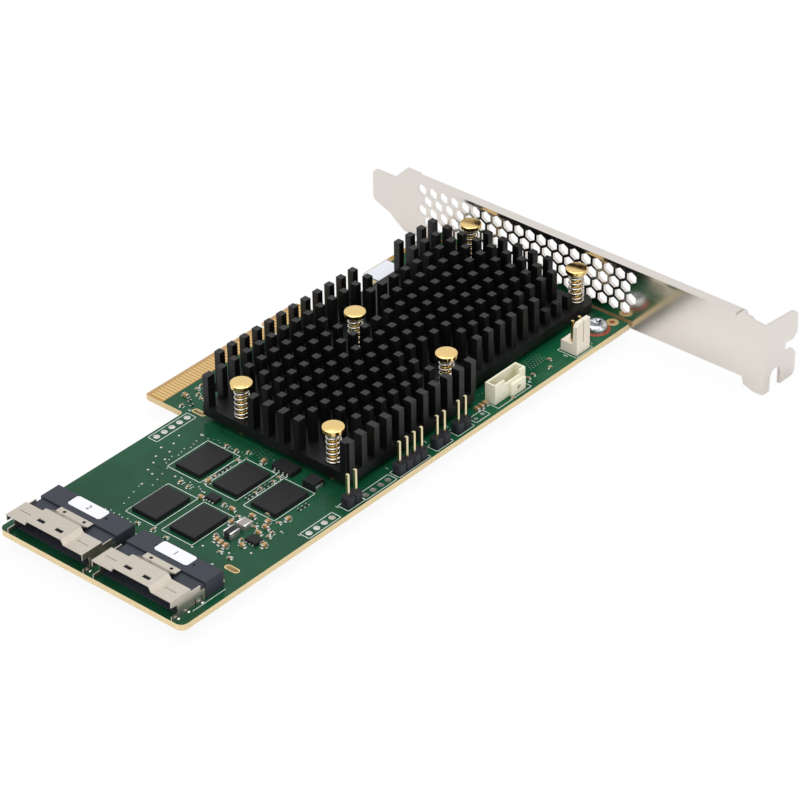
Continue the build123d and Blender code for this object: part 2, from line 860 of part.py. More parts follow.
# Pin headers: notched plastic base and square posts.
for number, (first_x, y, count) in enumerate(header_rows, 1):
    spots = header_post_spots(first_x, y, count)
    with BuildPart() as header_base:
        for x, y_post in spots:
            with BuildSketch(deck()) as cell:
                with Locations((x, y_post)):
                    Rectangle(header_pitch, header_width)
                chamfer(cell.vertices(), header_notch)
            extrude(amount=header_high)
        with BuildSketch(deck()):
            with Locations(*spots):
                Rectangle(post_side + 2 * post_gap, post_side + 2 * post_gap)
        extrude(amount=header_high, mode=Mode.SUBTRACT)
    header_base.part.label = f"header_base_{number}"
    export_step(header_base.part, f"parts/header_base_{number}.step")

    with BuildPart() as header_pins:
        with BuildSketch(deck(-board_thick - post_tail)):
            with Locations(*spots):
                Rectangle(post_side, post_side)
        extrude(amount=board_thick + post_tail + header_high + post_above)
        chamfer(header_pins.edges().group_by(Axis.Z)[-1], 0.15)
    header_pins.part.label = f"header_pins_{number}"
    export_step(header_pins.part, f"parts/header_pins_{number}.step")

# White walled header with a boss and a square window on its near side.
with BuildPart() as shrouded_header:
    with BuildSketch(deck()):
        with Locations((shroud_x, shroud_y)):
            Rectangle(shroud_length, shroud_width, align=LOW)
    extrude(amount=shroud_high)
    with BuildSketch(deck(shroud_floor)):
        with Locations((shroud_x + shroud_wall, shroud_y + shroud_wall)):
            Rectangle(
                shroud_length - 2 * shroud_wall, shroud_width - 2 * shroud_wall, align=LOW
            )
    extrude(amount=shroud_high, mode=Mode.SUBTRACT)
    with BuildSketch(along(shroud_y)):
        with Locations((shroud_x + shroud_cut_from, shroud_cut_top)):
            Rectangle(shroud_cut_to - shroud_cut_from, shroud_high, align=LOW)
    extrude(amount=-shroud_wall, mode=Mode.SUBTRACT)
    with BuildSketch(along(shroud_y)):
        with Locations((shroud_x + shroud_boss_from, 0)):
            Rectangle(shroud_boss_to - shroud_boss_from, shroud_boss_high, align=LOW)
        boss_mid = shroud_x + (shroud_boss_from + shroud_boss_to) / 2
        with Locations((boss_mid, shroud_window_low)):
            Rectangle(
                shroud_window,
                shroud_window,
                align=(Align.CENTER, Align.MIN),
                mode=Mode.SUBTRACT,
            )
    extrude(amount=shroud_boss_deep)
    with BuildSketch(deck()):
        with Locations(*shroud_posts):
            Rectangle(shroud_post + 2 * post_gap, shroud_post + 2 * post_gap)
    extrude(amount=shroud_floor, mode=Mode.SUBTRACT)
shrouded_header.part.label = "shrouded_header"
export_step(shrouded_header.part, "parts/shrouded_header.step")

with BuildPart() as shrouded_header_pins:
    with BuildSketch(deck(-board_thick - post_tail)):
        with Locations(*shroud_posts):
            Rectangle(shroud_post, shroud_post)
    extrude(amount=board_thick + post_tail + shroud_post_top)
shrouded_header_pins.part.label = "shrouded_header_pins"
export_step(shrouded_header_pins.part, "parts/shrouded_header_pins.step")

# Cream two-pin header with its tall friction wall on the near side.
with BuildPart() as latch_header:
    with BuildSketch(deck()):
        with Locations((latch_x, latch_y)):
            Rectangle(latch_length, latch_width, align=LOW)
    extrude(amount=latch_base_high)
    with BuildSketch(along(latch_y)) as wall:
        with Locations((latch_x, 0)):
            Rectangle(latch_length, latch_wall_high, align=LOW)
        chamfer(wall.vertices().sort_by_distance((latch_x, latch_wall_high, 0))[0], latch_chamfer)
    extrude(amount=-latch_wall)
    with BuildSketch(deck(latch_base_high)):
        with Locations((latch_x + latch_length / 2, latch_y)):
            Rectangle(latch_groove, 2 * latch_groove_deep)
    extrude(amount=latch_wall_high - latch_base_high, mode=Mode.SUBTRACT)
    with BuildSketch(deck()):
        with Locations(*latch_posts):
            Rectangle(post_side + 2 * post_gap, post_side + 2 * post_gap)
    extrude(amount=latch_base_high, mode=Mode.SUBTRACT)
latch_header.part.label = "latch_header"
export_step(latch_header.part, "parts/latch_header.step")

with BuildPart() as latch_header_pins:
    with BuildSketch(deck(-board_thick - post_tail)):
        with Locations(*latch_posts):
            Rectangle(post_side, post_side)
    extrude(amount=board_thick + post_tail + latch_post_top)
    chamfer(latch_header_pins.edges().group_by(Axis.Z)[-1], 0.15)
latch_header_pins.part.label = "latch_header_pins"
export_step(latch_header_pins.part, "parts/latch_header_pins.step")

# Small moulded parts: name, centre x, y, length x, width y, height.
small_blocks = [
    ("flash_chip", 57.45, 22.05, 3.6, 6.0, 1.3),
    ("logic_chip", 38.4, 26.85, 2.2, 3.1, 0.9),
    ("regulator_chip", 32.4, 9.1, 2.4, 3.2, 0.9),
    ("tantalum_capacitor", 56.65, 13.25, 3.5, 3.5, 1.9),
    ("power_inductor", 30.6, 14.1, 3.0, 2.4, 2.0),
    ("chip_inductor", 35.2, 14.45, 2.9, 2.7, 1.5),
]
for name, x, y, length, width, high in small_blocks:
    with BuildPart() as block:
        with BuildSketch(deck()):
            with Locations((x, y)):
                Rectangle(length, width)
        extrude(amount=high)
        chamfer(block.edges().group_by(Axis.Z)[-1], 0.12)
    block.part.label = name
    export_step(block.part, f"parts/{name}.step")

# Ceramic capacitors: centre x, y and 1 where the length runs along X.
capacitor_length = 1.6
capacitor_width = 0.85
capacitor_high = 0.8
capacitor_spots = [
    (27.4, 15.7, 1),
    (27.1, 14.15, 1),
    (26.9, 12.6, 1),
    (38.1, 20.8, 0),
    (39.0, 15.5, 0),
    (39.6, 11.55, 1),
    (37.8, 10.4, 0),
    (43.2, 8.8, 1),
    (29.45, 9.8, 0),
    (32.5, 6.15, 1),
    (56.2, 28.1, 1),
    (42.4, 32.4, 1),
    (37.0, 29.2, 0),
    (34.25, 17.7, 1),
    (35.2, 10.2, 0),
]
capacitors_from_end = [52.0, 50.45, 48.95]
capacitors_near_y = 4.4
capacitor_spots += [(board_length - inset, capacitors_near_y, 0) for inset in capacitors_from_end]
with BuildPart() as ceramic_capacitors:
    with BuildSketch(deck()):
        for x, y, lengthwise in capacitor_spots:
            with Locations((x, y)):
                if lengthwise:
                    Rectangle(capacitor_length, capacitor_width)
                else:
                    Rectangle(capacitor_width, capacitor_length)
    extrude(amount=capacitor_high)
ceramic_capacitors.part.label = "ceramic_capacitors"
export_step(ceramic_capacitors.part, "parts/ceramic_capacitors.step")

# Small resistors in short rows: first x, y, count.
resistor_length = 1.0
resistor_width = 0.5
resistor_high = 0.35
resistor_pitch = 1.3
resistor_rows = [(46.0, 32.8, 4), (43.2, 21.1, 7), (47.6, 9.3, 3)]
with BuildPart() as resistors:
    with BuildSketch(deck()):
        for first_x, y, count in resistor_rows:
            with Locations(*[(first_x + i * resistor_pitch, y) for i in range(count)]):
                Rectangle(resistor_width, resistor_length)
    extrude(amount=resistor_high)
resistors.part.label = "resistors"
export_step(resistors.part, "parts/resistors.step")

# Bare white label on the bracket-side foot of the board.
board_label_length = 8.6
board_label_width = 6.4
board_label_inset = 0.3
with BuildPart() as board_label:
    with BuildSketch(deck()):
        with Locations((foot_start + board_label_inset, foot_far - board_label_inset)):
            Rectangle(board_label_length, board_label_width, align=(Align.MIN, Align.MAX))
        chamfer_gap = foot_corner
        with Locations((foot_start, foot_far)):
            Rectangle(2 * chamfer_gap, 2 * chamfer_gap, mode=Mode.SUBTRACT)
    extrude(amount=label_thick)
board_label.part.label = "board_label"
export_step(board_label.part, "parts/board_label.step")
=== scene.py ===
import bpy
import math
from mathutils import Matrix, Vector


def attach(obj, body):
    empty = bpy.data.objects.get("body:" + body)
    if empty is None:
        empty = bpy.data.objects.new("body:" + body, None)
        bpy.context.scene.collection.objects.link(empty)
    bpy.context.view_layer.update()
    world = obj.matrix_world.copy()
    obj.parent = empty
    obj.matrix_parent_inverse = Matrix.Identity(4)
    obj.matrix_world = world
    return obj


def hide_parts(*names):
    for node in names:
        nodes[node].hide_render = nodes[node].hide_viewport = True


# Server storage controller card: green board, black pin-fin heatsink on brass push-pins, two cable
# ports, memory chips, pin headers and a vented bracket.
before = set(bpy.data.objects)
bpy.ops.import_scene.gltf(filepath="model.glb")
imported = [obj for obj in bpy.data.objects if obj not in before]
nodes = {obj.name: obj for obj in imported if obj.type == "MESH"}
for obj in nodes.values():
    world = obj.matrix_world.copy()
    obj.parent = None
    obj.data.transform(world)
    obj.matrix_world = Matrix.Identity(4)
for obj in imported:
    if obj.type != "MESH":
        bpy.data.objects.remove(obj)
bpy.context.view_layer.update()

MM = 0.001
# the board's own corner in the part's frame, in mm: x from the port end, y from the near edge, z from
# the component face
X0, Y0, Z0 = -84.705, -21.45, 4.57
# places on the board that several pieces share, in mm
PORT_Y = (2.95, 29.5)
SCREW_PLACES = [(148.8, 4.65, 0), (148.8, 59.8, 0)]
PITCH = 2.54
WALLED_X, WALLED_Y = [110.35 + 2 * i for i in range(4)], 3.94
MASK_END = 63.0


def at(x, y, z=0.0):
    """Board coordinates in mm to a point of the scene in metres."""
    return Vector(((X0 + x) * MM, (Y0 + y) * MM, (Z0 + z) * MM))


# colours, shader nodes and finishes


def tone(code):
    """sRGB hex to linear RGBA."""
    values = [int(code[i:i + 2], 16) / 255 for i in (1, 3, 5)]
    linear = [v / 12.92 if v <= 0.04045 else ((v + 0.055) / 1.055) ** 2.4 for v in values]
    return (*linear, 1.0)


def add(tree, kind, settings=None, **links):
    """Adds a shader node with its settings; a link or value is named for its socket, or iN for the Nth."""
    node = tree.nodes.new("ShaderNode" + kind)
    for key, value in (settings or {}).items():
        setattr(node, key, value)
    for key, value in links.items():
        socket = node.inputs[int(key[1:])] if key[1:].isdigit() else node.inputs[key.replace("_", " ")]
        if isinstance(value, bpy.types.NodeSocket):
            tree.links.new(value, socket)
        else:
            socket.default_value = value
    return node


def finish(name, base, rough, metal=0.0, **extra):
    """A material with its shader's own values; returns the material, its tree and its shader."""
    mat = bpy.data.materials.new(name)
    mat.use_nodes = True
    tree = mat.node_tree
    shader = tree.nodes["Principled BSDF"]
    shader.inputs["Base Color"].default_value = tone(base)
    shader.inputs["Roughness"].default_value = rough
    shader.inputs["Metallic"].default_value = metal
    for key, value in extra.items():
        shader.inputs[key.replace("_", " ")].default_value = value
    return mat, tree, shader


def surface(name, base, rough, metal, grit, relief, swing=0.05, mottle=None, **extra):
    """A finish with grit of a given size in mm that raises the surface and varies its gloss and colour."""
    mat, tree, shader = finish(name, base, rough, metal, **extra)
    where = add(tree, "TexCoord").outputs["Object"]
    spots = add(tree, "TexNoise", None, Vector=where, Scale=1 / (grit * MM), Detail=4.0).outputs[0]
    raised = add(tree, "Bump", None, Height=spots, Strength=relief, Distance=0.02 * MM)
    gloss = add(tree, "MapRange", None, Value=spots, i1=0.3, i2=0.7, i3=rough - swing, i4=rough + swing)
    tree.links.new(raised.outputs[0], shader.inputs["Normal"])
    tree.links.new(gloss.outputs[0], shader.inputs["Roughness"])
    if mottle:
        shade = add(tree, "MapRange", None, Value=spots, i1=0.35, i2=0.65)
        mixed = add(tree, "Mix", {"data_type": "RGBA"}, i0=shade.outputs[0], i6=tone(base), i7=tone(mottle))
        tree.links.new(mixed.outputs[2], shader.inputs["Base Color"])
    return mat


# camera, light and floor

# the photo's view: its turn, the reach from its aim in mm, and its focal length and centre in pixels
PICTURE = 800
azimuth, elevation, roll = math.radians(-48.067), math.radians(33.701), math.radians(-1.255)
reach = 799.155
aim = at(89.091, 28.966)
focal, centre_x, centre_y = 3429.289, 356.0, 399.3
back = Vector((math.sin(azimuth) * math.cos(elevation), -math.cos(azimuth) * math.cos(elevation),
               math.sin(elevation)))
right = (-back).cross(Vector((0, 0, 1))).normalized()
up = right.cross(-back)
right, up = right * math.cos(roll) + up * math.sin(roll), up * math.cos(roll) - right * math.sin(roll)
camera_data = bpy.data.cameras.new("photo_view")
camera = bpy.data.objects.new("photo_view", camera_data)
bpy.context.scene.collection.objects.link(camera)
eye = aim + back * reach * MM
camera.matrix_world = Matrix((
    (right.x, up.x, back.x, eye.x),
    (right.y, up.y, back.y, eye.y),
    (right.z, up.z, back.z, eye.z),
    (0, 0, 0, 1),
))
camera_data.sensor_width = 36.0
camera_data.lens = focal / PICTURE * camera_data.sensor_width
camera_data.shift_x = (PICTURE / 2 - centre_x) / PICTURE
camera_data.shift_y = (centre_y - PICTURE / 2) / PICTURE
camera_data.clip_start = 0.01
bpy.context.scene.camera = camera
bpy.context.scene.view_settings.view_transform = "Standard"


def softbox(name, spot, target, size, power):
    """A square area lamp turned towards a point."""
    data = bpy.data.lights.new(name, "AREA")
    data.size = size
    data.energy = power
    lamp = bpy.data.objects.new(name, data)
    lamp.location = spot
    lamp.rotation_euler = (Vector(target) - Vector(spot)).to_track_quat("-Z", "Y").to_euler()
    bpy.context.scene.collection.objects.link(lamp)


softbox("top_box", (0.0, 0.05, 0.75), (0, 0, 0), 0.9, 5.0)
softbox("left_box", (-0.75, -0.1, 0.45), (0, 0, 0), 0.6, 2.2)
softbox("near_box", (0.15, -0.85, 0.4), (0, 0, 0), 0.6, 1.7)

# the white room: dimmer as light on the card than as what the camera and reflections see
ROOM_LIGHT, SEEN_LIGHT = 0.38, 1.0
# share of the floor's own glow in what the camera sees; the rest is its lit paper with the shadow
FLOOR_GLOW = 0.93
world = bpy.data.worlds.new("studio")
world.use_nodes = True
bpy.context.scene.world = world
sky = world.node_tree.nodes["Background"]
sky.inputs["Color"].default_value = (1, 1, 1, 1)
light_path = add(world.node_tree, "LightPath")
clear = add(world.node_tree, "Math", {"operation": "MAXIMUM"},
            i0=light_path.outputs["Is Camera Ray"], i1=light_path.outputs["Is Transmission Ray"])
seen = add(world.node_tree, "Math", {"operation": "MAXIMUM"}, i0=clear.outputs[0],
           i1=light_path.outputs["Is Glossy Ray"])
strength = add(world.node_tree, "MapRange", None, Value=seen.outputs[0], i3=ROOM_LIGHT, i4=SEEN_LIGHT)
world.node_tree.links.new(strength.outputs[0], sky.inputs["Strength"])

# pale studio floor: white paper that keeps a soft shadow
paper, tree, shader = finish("white_paper", "#f4f4f4", 0.9)
glow = add(tree, "Emission", None, Color=(1, 1, 1, 1), Strength=1.0)
light_path = add(tree, "LightPath")
seen = add(tree, "Math", {"operation": "MULTIPLY"}, i0=light_path.outputs["Is Camera Ray"],
           i1=FLOOR_GLOW)
mixed = add(tree, "MixShader", None, i0=seen.outputs[0], i1=shader.outputs[0], i2=glow.outputs[0])
tree.links.new(mixed.outputs[0], tree.nodes["Material Output"].inputs["Surface"])
bpy.ops.object.select_all(action="DESELECT")
bpy.ops.mesh.primitive_plane_add(size=6, location=(0, 0, -0.0002))
floor = bpy.context.object
floor.name = "floor"
floor.data.materials.append(paper)

# materials

# solder mask over copper and glass epoxy: glossy green skin on the faces, tan laminate on the cut edges
solder_mask, tree, shader = finish("solder_mask_on_laminate", "#1f6044", 0.24, Specular_IOR_Level=0.16)
where = add(tree, "TexCoord").outputs["Object"]
axes = add(tree, "SeparateXYZ", None, Vector=where)
facing = add(tree, "SeparateXYZ", None, Vector=add(tree, "NewGeometry").outputs["True Normal"])
level = add(tree, "Math", {"operation": "ABSOLUTE"}, i0=facing.outputs["Z"]).outputs[0]
is_face = add(tree, "MapRange", None, Value=level, i1=0.6, i2=0.9).outputs[0]
# copper areas under the mask, several millimetres across, show as a slightly lighter green
pour = add(tree, "TexNoise", None, Vector=where, Scale=1 / (9 * MM), Detail=2.0).outputs[0]
copper = add(tree, "MapRange", None, Value=pour, i1=0.35, i2=0.65).outputs[0]
# the green grows lighter and deeper from the port end to the bracket end: painted light across the board
shaded_green_port_end = add(tree, "Mix", {"data_type": "RGBA"}, i0=copper, i6=tone("#12432b"), i7=tone("#164c32")).outputs[2]
lit_green_bracket_end = add(tree, "Mix", {"data_type": "RGBA"}, i0=copper, i6=tone("#0f5033"), i7=tone("#135b38")).outputs[2]
painted_light_ramp = add(tree, "MapRange", None, Value=axes.outputs["X"], i1=(X0 + 40) * MM, i2=(X0 + 150) * MM).outputs[0]
green = add(tree, "Mix", {"data_type": "RGBA"}, i0=painted_light_ramp, i6=shaded_green_port_end, i7=lit_green_bracket_end).outputs[2]
# glass cloth of the laminate, 1.2 mm a ply, on the sawn edge
ply = add(tree, "TexWave", {"bands_direction": "X"}, Vector=where, Scale=1 / (1.2 * MM), Distortion=1.5)
edge = add(tree, "Mix", {"data_type": "RGBA"}, i0=ply.outputs["Fac"], i6=tone("#dcc394"),
           i7=tone("#e9d5aa")).outputs[2]
bare = add(tree, "MapRange", None, Value=axes.outputs["Y"], i1=(Y0 + MASK_END - 0.1) * MM,
           i2=(Y0 + MASK_END + 0.1) * MM)
face = add(tree, "Mix", {"data_type": "RGBA"}, i0=bare.outputs[0], i6=green, i7=tone("#b0874a")).outputs[2]
skin = add(tree, "Mix", {"data_type": "RGBA"}, i0=is_face, i6=edge, i7=face).outputs[2]
tree.links.new(skin, shader.inputs["Base Color"])
fine = add(tree, "TexNoise", None, Vector=where, Scale=1 / (0.5 * MM), Detail=3.0).outputs[0]
raised = add(tree, "Bump", None, Height=fine, Strength=0.06, Distance=0.02 * MM)
tree.links.new(raised.outputs[0], shader.inputs["Normal"])

# hard gold plate of the fingers and posts: polished, deep yellow
gold = surface("hard_gold_plate", "#dfc089", 0.24, 1.0, 0.12, 0.05, mottle="#d6b57a")
# thinner gold on the header posts: paler, nearly silver
post_gold = surface("flash_gold_plate", "#ded2ae", 0.24, 1.0, 0.12, 0.05, mottle="#d4c79f")
# nickel on rolled steel sheet: warm and satin, its grain drawn out along the sheet
nickel, tree, shader = finish("bright_plated_sheet", "#d9d3cd", 0.17, 1.0)
where = add(tree, "TexCoord").outputs["Object"]
drawn = add(tree, "Mapping", None, Vector=where, Scale=(1.0, 0.05, 1.0))
rolled = add(tree, "TexNoise", None, Vector=drawn.outputs[0], Scale=1 / (0.6 * MM), Detail=4.0).outputs[0]
gloss = add(tree, "MapRange", None, Value=rolled, i1=0.3, i2=0.7, i3=0.15, i4=0.21)
raised = add(tree, "Bump", None, Height=rolled, Strength=0.01, Distance=0.005 * MM)
tree.links.new(gloss.outputs[0], shader.inputs["Roughness"])
tree.links.new(raised.outputs[0], shader.inputs["Normal"])
# zinc plate on a pressed screw head: bright and a little blue
zinc = surface("zinc_plated_screw", "#c3c8cb", 0.24, 1.0, 0.2, 0.08, mottle="#b6bcc1")
# black anodised aluminium: near black, with a dull sheen on the pins' tops
anodised = surface("black_anodised_aluminium", "#050506", 0.42, 0.0, 0.25, 0.15, mottle="#0a0a0b",
                   Specular_IOR_Level=0.33)
# turned brass: polished yellow
brass = surface("turned_brass", "#e9c98c", 0.17, 1.0, 0.3, 0.05, mottle="#e5c67f")
# stainless spring wire: bright drawn wire
spring_wire = surface("stainless_spring_wire", "#cfccc4", 0.2, 1.0, 0.15, 0.05)
# epoxy moulding compound of the chips: charcoal with the fine grain of the mould
epoxy = surface("epoxy_moulding", "#1a1a1c", 0.46, 0.0, 0.15, 0.18, mottle="#202022", Specular_IOR_Level=0.15)
# glass-filled nylon of the port housings: slate and satin
slate = surface("glass_filled_nylon_slate", "#34373f", 0.48, 0.0, 0.2, 0.12, mottle="#393c45",
                Specular_IOR_Level=0.15)
# tin-plated steel of the shells: warm satin
tin_shell = surface("tin_plated_shell", "#bcb4a9", 0.3, 0.92, 0.8, 0.01, 0.02, mottle="#b8b0a5")
# bare tin on leads, end caps and pads: soft bright silver
tin = surface("bright_tin", "#d6d5d2", 0.28, 0.9, 0.12, 0.1, mottle="#c9c8c6")
# paper labels: matte
paper_white = surface("paper_label", "#e9e9ef", 0.6, 0.0, 0.2, 0.08, 0.04, mottle="#e3e3ea",
                      Specular_IOR_Level=0.2)
paper_blue = surface("paper_label_pale_blue", "#e7e9f0", 0.6, 0.0, 0.2, 0.08, 0.04, mottle="#dfe2ec")
# dark nylon of the pin headers: satin moulding
nylon_dark = surface("nylon_dark", "#222328", 0.45, 0.0, 0.2, 0.12, mottle="#2a2b31", Specular_IOR_Level=0.15)
# natural nylon of the two cable headers: cream and slightly waxy
nylon_cream = surface("nylon_natural", "#e4e1c8", 0.42, 0.0, 0.6, 0.06, mottle="#ebe8d4",
                      Specular_IOR_Level=0.3)
nylon_warm = surface("nylon_natural_warm", "#e3d9c8", 0.42, 0.0, 0.6, 0.06, mottle="#eae1d2",
                     Specular_IOR_Level=0.3)
# silicone pad: soft grey rubber
silicone = surface("silicone_pad", "#9aa3ad", 0.7, 0.0, 0.3, 0.1, mottle="#8f98a3")
# fired ceramic of the capacitors: tan to brown, semi-gloss
ceramic = surface("fired_ceramic", "#9a7446", 0.38, 0.0, 1.1, 0.05, mottle="#c29b68")
# ferrite of the grey inductor and film of the resistors
ferrite = surface("grey_ferrite", "#8d8782", 0.5, 0.0, 0.2, 0.12, mottle="#9a948e")
film = surface("resistor_film", "#232327", 0.35, 0.0, 0.2, 0.05, mottle="#2c2c31", Specular_IOR_Level=0.15)
# white legend ink printed on the mask: flat and slightly uneven
ink = surface("white_legend_ink", "#e3e8e3", 0.55, 0.0, 0.3, 0.05, mottle="#d0d9d2")
# edges of the copper tracks under the mask: a darker green line with the mask's own gloss, partly the darker colour
# of the gaps between copper and partly painted shade in those gaps
track_edge_shade = surface("mask_track_edge_with_painted_shade", "#0d3a26", 0.24, 0.0, 0.5, 0.04, mottle="#10402b",
                Specular_IOR_Level=0.22)
# copper ring seen through clear coat round each bracket screw
copper_ring = surface("bare_copper", "#b9583f", 0.4, 0.6, 0.3, 0.06, mottle="#a94e38")
# gold-flashed ring of tan colour round the plated slots
slot_gold = surface("gold_flash", "#d9c28c", 0.35, 0.5, 0.2, 0.05, mottle="#cfb67e")
# shadowed mark moulded into a chip, also the dark print of the port numbers and the painted shade of the shells'
# creases
crease_shade_and_mark = surface("moulded_mark_and_painted_crease_shade", "#1b1b1d", 0.6, 0.0, 0.15, 0.1, Specular_IOR_Level=0.15)

FINISHES = {
    "pcb": solder_mask, "edge_contacts": gold, "bracket": nickel, "heatsink": anodised,
    "controller_chip": epoxy, "thermal_pad": silicone, "shrouded_header": nylon_cream,
    "shrouded_header_pins": gold, "latch_header": nylon_warm, "latch_header_pins": gold,
    "flash_chip": epoxy, "logic_chip": epoxy, "regulator_chip": epoxy, "tantalum_capacitor": epoxy,
    "power_inductor": film, "chip_inductor": ferrite, "board_label": paper_blue,
}
for number in (1, 2):
    FINISHES[f"port_housing_{number}"] = slate
    FINISHES[f"port_shell_{number}"] = tin_shell
    FINISHES[f"port_contacts_{number}"] = gold
    FINISHES[f"port_label_{number}"] = paper_white
for number in range(1, 5):
    FINISHES[f"header_base_{number}"] = nylon_dark
    FINISHES[f"header_pins_{number}"] = post_gold
for number in range(1, 6):
    FINISHES[f"memory_chip_{number}"] = epoxy
for name, mat in FINISHES.items():
    nodes[name].data.materials.clear()
    nodes[name].data.materials.append(mat)

# modelling helpers


def loose(x, y, z=0.0):
    """A point in mm of a part that is modelled at the origin and copied to its places later."""
    return Vector((x * MM, y * MM, z * MM))


def settle(name):
    """Names the new primitive and moves its place, turn and size into its mesh."""
    piece = bpy.context.object
    piece.name = piece.data.name = name
    bpy.ops.object.transform_apply(location=True, rotation=True, scale=True)
    return piece


def pick(piece, test):
    """Selects the vertices that pass a test and opens the piece for editing."""
    bpy.ops.object.select_all(action="DESELECT")
    piece.select_set(True)
    bpy.context.view_layer.objects.active = piece
    bpy.ops.object.mode_set(mode="EDIT")
    bpy.ops.mesh.select_mode(type="VERT")
    bpy.ops.mesh.select_all(action="DESELECT")
    bpy.ops.object.mode_set(mode="OBJECT")
    for vertex in piece.data.vertices:
        vertex.select = test(vertex.co)
    bpy.ops.object.mode_set(mode="EDIT")


def close(piece, angle=35.0):
    """Leaves editing with faces outwards and smooth shading below an angle."""
    bpy.ops.mesh.select_all(action="SELECT")
    bpy.ops.mesh.normals_make_consistent(inside=False)
    bpy.ops.object.mode_set(mode="OBJECT")
    bpy.ops.object.shade_smooth_by_angle(angle=math.radians(angle))
    return piece


def block(name, spot, length, width, height, edge=0.06, steps=2):
    """A block standing on its spot, with softened edges."""
    bpy.ops.object.select_all(action="DESELECT")
    middle = spot + Vector((0, 0, height * MM / 2))
    bpy.ops.mesh.primitive_cube_add(size=MM, location=middle, scale=(length, width, height))
    piece = settle(name)
    pick(piece, lambda co: True)
    bpy.ops.mesh.bevel(offset=edge * MM, segments=steps, affect="EDGES")
    return close(piece)


def turned(name, spot, low_r, high_r, height, sides=40, rim=0.0, steps=3):
    """A round piece standing on its spot, tapered between two radii, with its upper rim rounded."""
    bpy.ops.object.select_all(action="DESELECT")
    middle = spot + Vector((0, 0, height * MM / 2))
    bpy.ops.mesh.primitive_cone_add(vertices=sides, radius1=low_r * MM, radius2=high_r * MM, depth=height * MM,
                                    location=middle)
    piece = settle(name)
    top = max(vertex.co.z for vertex in piece.data.vertices)
    pick(piece, lambda co: co.z > top - 0.01 * MM)
    if rim:
        bpy.ops.mesh.bevel(offset=rim * MM, segments=steps, affect="EDGES")
    return close(piece)


def ring(name, spot, inner, outer, stretch=0.0, sides=32, thick=0.03):
    """A flat ring round a hole, drawn out along y where it goes round a slot."""
    bpy.ops.object.select_all(action="DESELECT")
    bpy.ops.mesh.primitive_circle_add(vertices=sides, radius=outer * MM, fill_type="NGON", location=spot)
    piece = settle(name)
    if stretch:
        pick(piece, lambda co: co.y > spot.y - 0.001 * MM)
        bpy.ops.transform.translate(value=(0, stretch * MM, 0))
        bpy.ops.mesh.select_all(action="SELECT")
        bpy.ops.transform.translate(value=(0, -stretch * MM / 2, 0))
        bpy.ops.object.mode_set(mode="OBJECT")
    pick(piece, lambda co: True)
    bpy.ops.mesh.select_mode(type="FACE")
    bpy.ops.mesh.select_all(action="SELECT")
    if inner:
        bpy.ops.mesh.inset(thickness=(outer - inner) * MM)
        bpy.ops.mesh.delete(type="FACE")
        bpy.ops.mesh.select_all(action="SELECT")
    bpy.ops.mesh.extrude_region_move(TRANSFORM_OT_translate={"value": (0, 0, thick * MM)})
    return close(piece, 20)


def join(pieces, name):
    """One piece out of several, its place in its mesh."""
    bpy.ops.object.select_all(action="DESELECT")
    for piece in pieces:
        piece.select_set(True)
    bpy.context.view_layer.objects.active = pieces[0]
    if len(pieces) > 1:
        bpy.ops.object.join()
    return settle(name)


def cut(piece, cutter):
    """Takes one piece's shape out of another."""
    change = piece.modifiers.new("cut", "BOOLEAN")
    change.object = cutter
    change.solver = "EXACT"
    bpy.ops.object.select_all(action="DESELECT")
    bpy.context.view_layer.objects.active = piece
    piece.select_set(True)
    bpy.ops.object.modifier_apply(modifier="cut")
    bpy.data.objects.remove(cutter, do_unlink=True)
    return piece


def copies(model, places, name):
    """Copies of a part modelled at the origin, at board places x, y, z with an optional turn in degrees."""
    made = []
    for x, y, z, *turn in places:
        twin = model.copy()
        twin.data = model.data.copy()
        twin.location = at(x, y, z)
        twin.rotation_euler = (0, 0, math.radians(turn[0]) if turn else 0)
        bpy.context.scene.collection.objects.link(twin)
        made.append(twin)
    bpy.data.objects.remove(model, do_unlink=True)
    return join(made, name)


def fit(piece, mat, slot, *stands_for):
    """Gives a piece its material and fixes it to the card; its slot is not used."""
    piece.data.materials.clear()
    piece.data.materials.append(mat)
    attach(piece, "root")
    if stands_for:
        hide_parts(*stands_for)
    return piece


def line(x0, y0, x1, y1, width, z):
    """A flat printed line between two board points."""
    length = math.hypot(x1 - x0, y1 - y0)
    bpy.ops.mesh.primitive_plane_add(size=MM, location=at((x0 + x1) / 2, (y0 + y1) / 2, z),
                                     rotation=(0, 0, math.atan2(y1 - y0, x1 - x0)))
    strip = bpy.context.object
    strip.scale = (length + width, width, 1)
    return strip


def thicken(piece, thick):
    """Gives flat printed lines their thickness."""
    change = piece.modifiers.new("ink", "SOLIDIFY")
    change.thickness = thick * MM
    change.offset = 1.0
    bpy.ops.object.select_all(action="DESELECT")
    bpy.context.view_layer.objects.active = piece
    piece.select_set(True)
    bpy.ops.object.modifier_apply(modifier="ink")
    return piece


# push-pins and springs

PIN_PLACES = [(63.05, 12.6, 0), (63.05, 40.65, 0), (102.4, 12.6, 0), (102.4, 40.65, 0), (150.9, 12.6, 0),
              (150.9, 45.45, 0)]
# turned head, widest near its rounded top, on a straight stem
head = turned("pin_head", loose(0, 0, 11.7), 2.2, 2.65, 0.4)
crown = turned("pin_crown", loose(0, 0, 12.1), 2.65, 2.65, 1.08, rim=0.22)
stem = turned("pin_stem", loose(0, 0, 4.0), 1.3, 1.3, 7.7, 24)
collar = turned("pin_collar", loose(0, 0, -1.67), 1.25, 1.25, 5.67, 24)
# split barb below the board
barb = turned("pin_barb", loose(0, 0, -3.97), 0.8, 1.75, 2.3, 24)
barb = cut(barb, block("pin_split", loose(0, 0, -4.5), 5.0, 0.6, 2.6, 0.02))
pins = copies(join([head, crown, stem, collar, barb], "push_pin"), PIN_PLACES, "brass_push_pins")
fit(pins, brass, "pin_brass", "push_pins")

